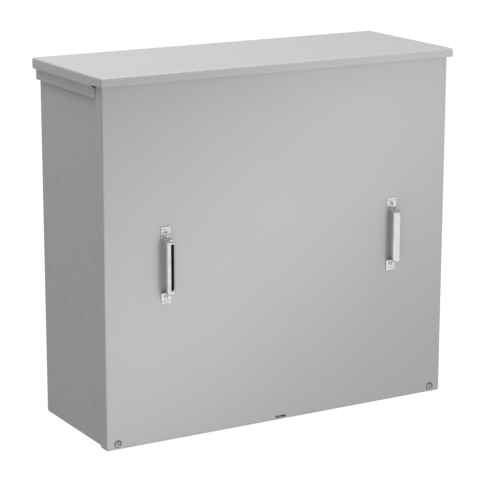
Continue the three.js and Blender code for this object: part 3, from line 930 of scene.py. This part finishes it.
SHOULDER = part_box("subpanel")[0].y + SHEET + GAP
GROUND_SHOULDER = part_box("ground_nut")[1].y + GAP
for side, _ in SIDES:
    corner = f"{side}_corner"
    screw = domed_screw(f"{corner}_screw", screw_seat(f"{corner}_washer"), *CORNER_THREAD)
    plated(f"{corner}_screw", screw, f"{side}_screw")
    plated(f"{corner}_washer", seal_ring(f"{corner}_washer"), f"{side}_washer",
           "seal_rubber", SEAL, 0)
    plated(f"{corner}_nut", nut_mesh(f"{corner}_nut", CORNER_BORE))
    for level in LEVELS:
        name = f"{side}_handle_{level}"
        screw = domed_screw(f"{name}_screw", FACE - GAP - STRAP - GAP, *PULL_THREAD)
        plated(f"{name}_screw", screw, "cover", "chrome_plate", CHROME)
        plated(f"{name}_nut", nut_mesh(f"{name}_nut", HANDLE_BORE), "cover")
        stud = f"subpanel_stud_{level}_{side}"
        plated(stud, stud_mesh(stud, SHOULDER, *STUD_THREAD))
        nut = f"subpanel_nut_{level}_{side}"
        plated(nut, flange_nut_mesh(nut, STUD_FLATS, STUD_BORE))
plated("ground_stud", stud_mesh("ground_stud", GROUND_SHOULDER, *GROUND_THREAD))
plated("ground_nut", nut_mesh("ground_nut", GROUND_BORE))

# ---------------------------------------------------------------- studio

FLOOR_SIZE = 600  # so wide that its far edge stays out of low views
BASE_SHADE = 0.012  # how far in under the cabinet the table's light fades out, a painted shade under the cabinet
FLOOR_TONE = 0.03  # what it gives back of the lamps
FLOOR_MOTTLE = 0.03  # how far that varies, as a share
FLOOR_GLOW = 0.97  # the even light of the lit table under it
WORLD_TONE = 0.5
CARD = ((0.13, -1.18), (0.41, -1.18), (0.68, -1.69), (0.40, -1.69))  # corners on the floor
CARD_HEIGHT = 0.01
LIGHTS = (
    # name, place, aim, size, power in watts, turn, whether metal shows it
    ("overhead", (0.0, 0.3, 3.2), (0, 0, 0.7), (3.0, 2.4), 190, 0, False),
    ("ceiling", (0.0, 0.3, 3.3), (0, 0, 0.7), (3.0, 2.4), 36, 0, True),
    ("overhead_left", (-0.9, 0.3, 1.7), (0, 0, 0.75), (0.8, 0.8), 13, 0, False),
    ("key", (0.7, -3.2, 1.2), (0, -0.1, 0.35), (1.1, 1.1), 126, 0, False),
    ("sloping_strip", (0.0, -0.55, 0.42), (0, 0, 0.42), (1.5, 0.12), 3.6, 0.64, False),
    ("low_left", (-0.55, -0.75, 0.2), (-0.3, -0.1, 0.15), (0.4, 0.4), 1.6, 0, False),
)

CAMERA_PLACE = Vector((-2.077, -3.550, 1.364))
CAMERA_AZIMUTH = math.radians(-30.165)
CAMERA_ELEVATION = math.radians(13.78)
CAMERA_ROLL = math.radians(0.09)
CAMERA_LENS = 148.6
SENSOR_WIDTH = 36


def cabinet_base():
    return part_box("left_side_panel")[0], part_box("right_side_panel")[1]


def outside_painted_base_shade(n):
    """1 where the lit table is open, 0 where the cabinet stands on it: the glow that fades out
    under the cabinet is painted shade.
    """
    low, high = cabinet_base()
    place = n.node("ShaderNodeSeparateXYZ")
    n.link(n.place, place.inputs["Vector"])
    outside = []
    for axis, start, end in (("X", low.x, high.x), ("Y", low.y, high.y)):
        across = n.math("SUBTRACT", place.outputs[axis], (start + end) / 2)
        from_middle = n.math("ABSOLUTE", across, 0)
        half = (end - start) / 2
        outside.append(n.ramp(from_middle, 0, 1, half - BASE_SHADE, half))
    return n.math("MAXIMUM", *outside)


def floor():
    half = FLOOR_SIZE / 2
    mesh = bpy.data.meshes.new("floor")
    corners = [(-half, -half, 0), (half, -half, 0), (half, half, 0), (-half, half, 0)]
    mesh.from_pydata(corners, [], [(0, 1, 2, 3)])
    made = in_scene("floor", mesh)
    n = Nodes("pale_floor")
    tone = n.ramp(n.noise(1.5, 2), (1 - FLOOR_MOTTLE) * FLOOR_TONE,
                  (1 + FLOOR_MOTTLE) * FLOOR_TONE)
    shade = n.node("ShaderNodeCombineColor")
    for socket in shade.inputs:
        n.link(tone, socket)
    n.link(shade.outputs["Color"], n.shader.inputs["Base Color"])
    # the floor's glow is cut off under the cabinet: painted shade beneath it
    n.link(n.math("MULTIPLY", outside_painted_base_shade(n), FLOOR_GLOW), n.shader.inputs["Emission Strength"])
    n.shader.inputs["Emission Color"].default_value = (1, 1, 1, 1)
    n.set(Roughness=0.9)
    n.material.cycles.emission_sampling = "NONE"
    mesh.materials.append(n.material)


def dark_card():
    """A black card lying in front, which the left pull's grip reflects."""
    mesh = bpy.data.meshes.new("dark_card")
    mesh.from_pydata([(x, y, CARD_HEIGHT) for x, y in CARD], [], [(0, 1, 2, 3)])
    made = in_scene("dark_card", mesh)
    n = Nodes("black_card")
    n.link(n.mix(n.noise(400), (0.002, 0.002, 0.002), (0.006, 0.006, 0.006)),
           n.shader.inputs["Base Color"])
    n.set(Roughness=1.0, Specular_IOR_Level=0.0)
    mesh.materials.append(n.material)
    made.visible_camera = False
    made.visible_diffuse = False
    made.visible_shadow = False


def softbox(name, place, aim, size, power, turn, glossy):
    light = bpy.data.lights.new(name, "AREA")
    light.shape = "RECTANGLE"
    light.size, light.size_y = size
    light.energy = power
    made = in_scene(name, light)
    made.location = place
    made.rotation_euler = (Vector(aim) - Vector(place)).to_track_quat("-Z", "Y").to_euler()
    made.rotation_euler.rotate_axis("Z", turn)
    made.visible_camera = False
    made.visible_glossy = glossy
    return made


def studio():
    floor()
    dark_card()
    for light in LIGHTS:
        softbox(*light)
    world = bpy.data.worlds.new("studio")
    world.use_nodes = True
    background = world.node_tree.nodes["Background"]
    background.inputs["Color"].default_value = (1, 1, 1, 1)
    background.inputs["Strength"].default_value = WORLD_TONE
    bpy.context.scene.world = world
    bpy.context.scene.view_settings.view_transform = "Standard"


def camera():
    data = bpy.data.cameras.new("camera")
    data.lens = CAMERA_LENS
    data.sensor_width = SENSOR_WIDTH
    made = in_scene("camera", data)
    back = Vector((math.sin(CAMERA_AZIMUTH) * math.cos(CAMERA_ELEVATION),
                   -math.cos(CAMERA_AZIMUTH) * math.cos(CAMERA_ELEVATION),
                   math.sin(CAMERA_ELEVATION)))
    level = (-back).to_track_quat("-Z", "Y").to_matrix().to_4x4()
    made.matrix_world = (Matrix.Translation(CAMERA_PLACE) @ level
                         @ Matrix.Rotation(CAMERA_ROLL, 4, "Z"))
    bpy.context.scene.camera = made


studio()
camera()
